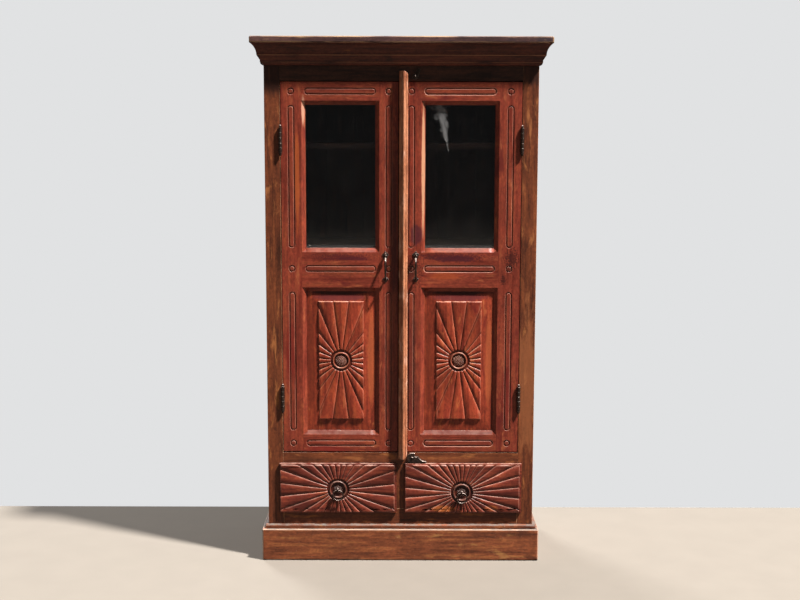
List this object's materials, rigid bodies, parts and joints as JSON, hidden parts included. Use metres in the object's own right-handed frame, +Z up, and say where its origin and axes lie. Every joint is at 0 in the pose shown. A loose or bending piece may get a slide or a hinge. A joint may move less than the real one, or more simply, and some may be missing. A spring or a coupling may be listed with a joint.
{
  "type": "display cabinet",
  "caption": "Tall hardwood cabinet with glazed and sunburst-carved doors over carved drawers, a cove cornice, a plinth and iron drop pulls, rings and turn buttons.",
  "frame": {"origin": "middle of the footprint box at floor level", "axes": "+X to the right along the front as the viewer sees it, +Y from the front to the back, +Z up"},
  "size_m": [0.952, 0.421, 1.7],
  "materials": {
    "post_wood": "old oiled hardwood with rubbed edges",
    "door_wood": "red-brown stained hardwood, satin",
    "drawer_wood": "dusty red-brown carved hardwood",
    "strip_wood": "worn tan hardwood",
    "plinth_wood": "scuffed and scratched hardwood",
    "cornice_wood": "dark stained hardwood with a worn top edge",
    "inside_wood": "dark unpolished boards",
    "iron": "blackened wrought iron, worn bright where handled",
    "window_glass": "clear old glass, slightly dusty"
  },
  "bodies": {
    "carcass": {"front_post_left": "post_wood", "front_post_right": "post_wood", "back_posts": "post_wood", "frieze_rail": "post_wood", "middle_rail": "post_wood", "bottom_rail": "post_wood", "drawer_divider": "post_wood", "side_rails_left": "post_wood", "side_rails_right": "post_wood", "side_panels_left": "post_wood", "side_panels_right": "post_wood", "back_rails": "inside_wood", "back_boards": "inside_wood", "top_board": "cornice_wood", "cornice_front": "cornice_wood", "cornice_returns": "cornice_wood", "plinth_front": "plinth_wood", "plinth_returns": "plinth_wood", "plinth_moulding": "plinth_wood", "cabinet_floor": "inside_wood", "shelves": "inside_wood", "shelf_cleats": "inside_wood", "drawer_runners": "inside_wood", "drawer_guides": "inside_wood", "post_hinge_leaves": "iron", "hinge_pins": "iron", "button_screws": "iron"},
    "left_door": {"left_door_stiles": "door_wood", "left_door_rails": "door_wood", "left_window_glass": "window_glass", "left_glazing_beads": "door_wood", "left_carved_panel": "door_wood", "left_door_hinge_leaves": "iron", "left_pull_fittings": "iron"},
    "right_door": {"right_door_stiles": "door_wood", "right_door_rails": "door_wood", "right_window_glass": "window_glass", "right_glazing_beads": "door_wood", "right_carved_panel": "door_wood", "right_door_hinge_leaves": "iron", "right_pull_fittings": "iron", "cover_strip": "strip_wood"},
    "left_drawer": {"left_drawer_front": "drawer_wood", "left_drawer_box": "inside_wood", "left_drawer_bottom": "inside_wood", "left_drawer_staple": "iron"},
    "right_drawer": {"right_drawer_front": "drawer_wood", "right_drawer_box": "inside_wood", "right_drawer_bottom": "inside_wood", "right_drawer_staple": "iron"},
    "left_pull": {"left_drop_pull": "iron"},
    "right_pull": {"right_drop_pull": "iron"},
    "left_ring": {"left_drawer_ring": "iron"},
    "right_ring": {"right_drawer_ring": "iron"},
    "low_button": {"low_turn_button": "iron"},
    "high_button": {"high_turn_button": "iron"}
  },
  "joints": [
    {"name": "left_door_hinge", "type": "hinge", "parent": "carcass", "child": "left_door", "pos_m": [-0.384, -0.17555, 0.96275], "axis": [0, 0, -1], "range_deg": [0, 170]},
    {"name": "right_door_hinge", "type": "hinge", "parent": "carcass", "child": "right_door", "pos_m": [0.384, -0.17555, 0.96275], "axis": [0, 0, 1], "range_deg": [0, 170]},
    {"name": "left_drawer_slide", "type": "slide", "parent": "carcass", "child": "left_drawer", "axis": [0, -1, 0], "range_m": [0, 0.27]},
    {"name": "right_drawer_slide", "type": "slide", "parent": "carcass", "child": "right_drawer", "axis": [0, -1, 0], "range_m": [0, 0.27]},
    {"name": "left_pull_lift", "type": "hinge", "parent": "left_door", "child": "left_pull", "pos_m": [-0.05, -0.1796, 1.01125], "axis": [-1, 0, 0], "range_deg": [0, 120]},
    {"name": "right_pull_lift", "type": "hinge", "parent": "right_door", "child": "right_pull", "pos_m": [0.047, -0.1796, 1.01125], "axis": [-1, 0, 0], "range_deg": [0, 120]},
    {"name": "left_ring_lift", "type": "hinge", "parent": "left_drawer", "child": "left_ring", "pos_m": [-0.20525, -0.1912, 0.2379], "axis": [-1, 0, 0], "range_deg": [0, 110]},
    {"name": "right_ring_lift", "type": "hinge", "parent": "right_drawer", "child": "right_ring", "pos_m": [0.20125, -0.1912, 0.2289], "axis": [-1, 0, 0], "range_deg": [0, 110]},
    {"name": "low_button_turn", "type": "hinge", "parent": "carcass", "child": "low_button", "pos_m": [0.0385, -0.174, 0.3435], "axis": [0, -1, 0], "range_deg": [0, 90]},
    {"name": "high_button_turn", "type": "hinge", "parent": "carcass", "child": "high_button", "pos_m": [0.0435, -0.173, 1.577], "axis": [0, 1, 0], "range_deg": [0, 150]}
  ]
}
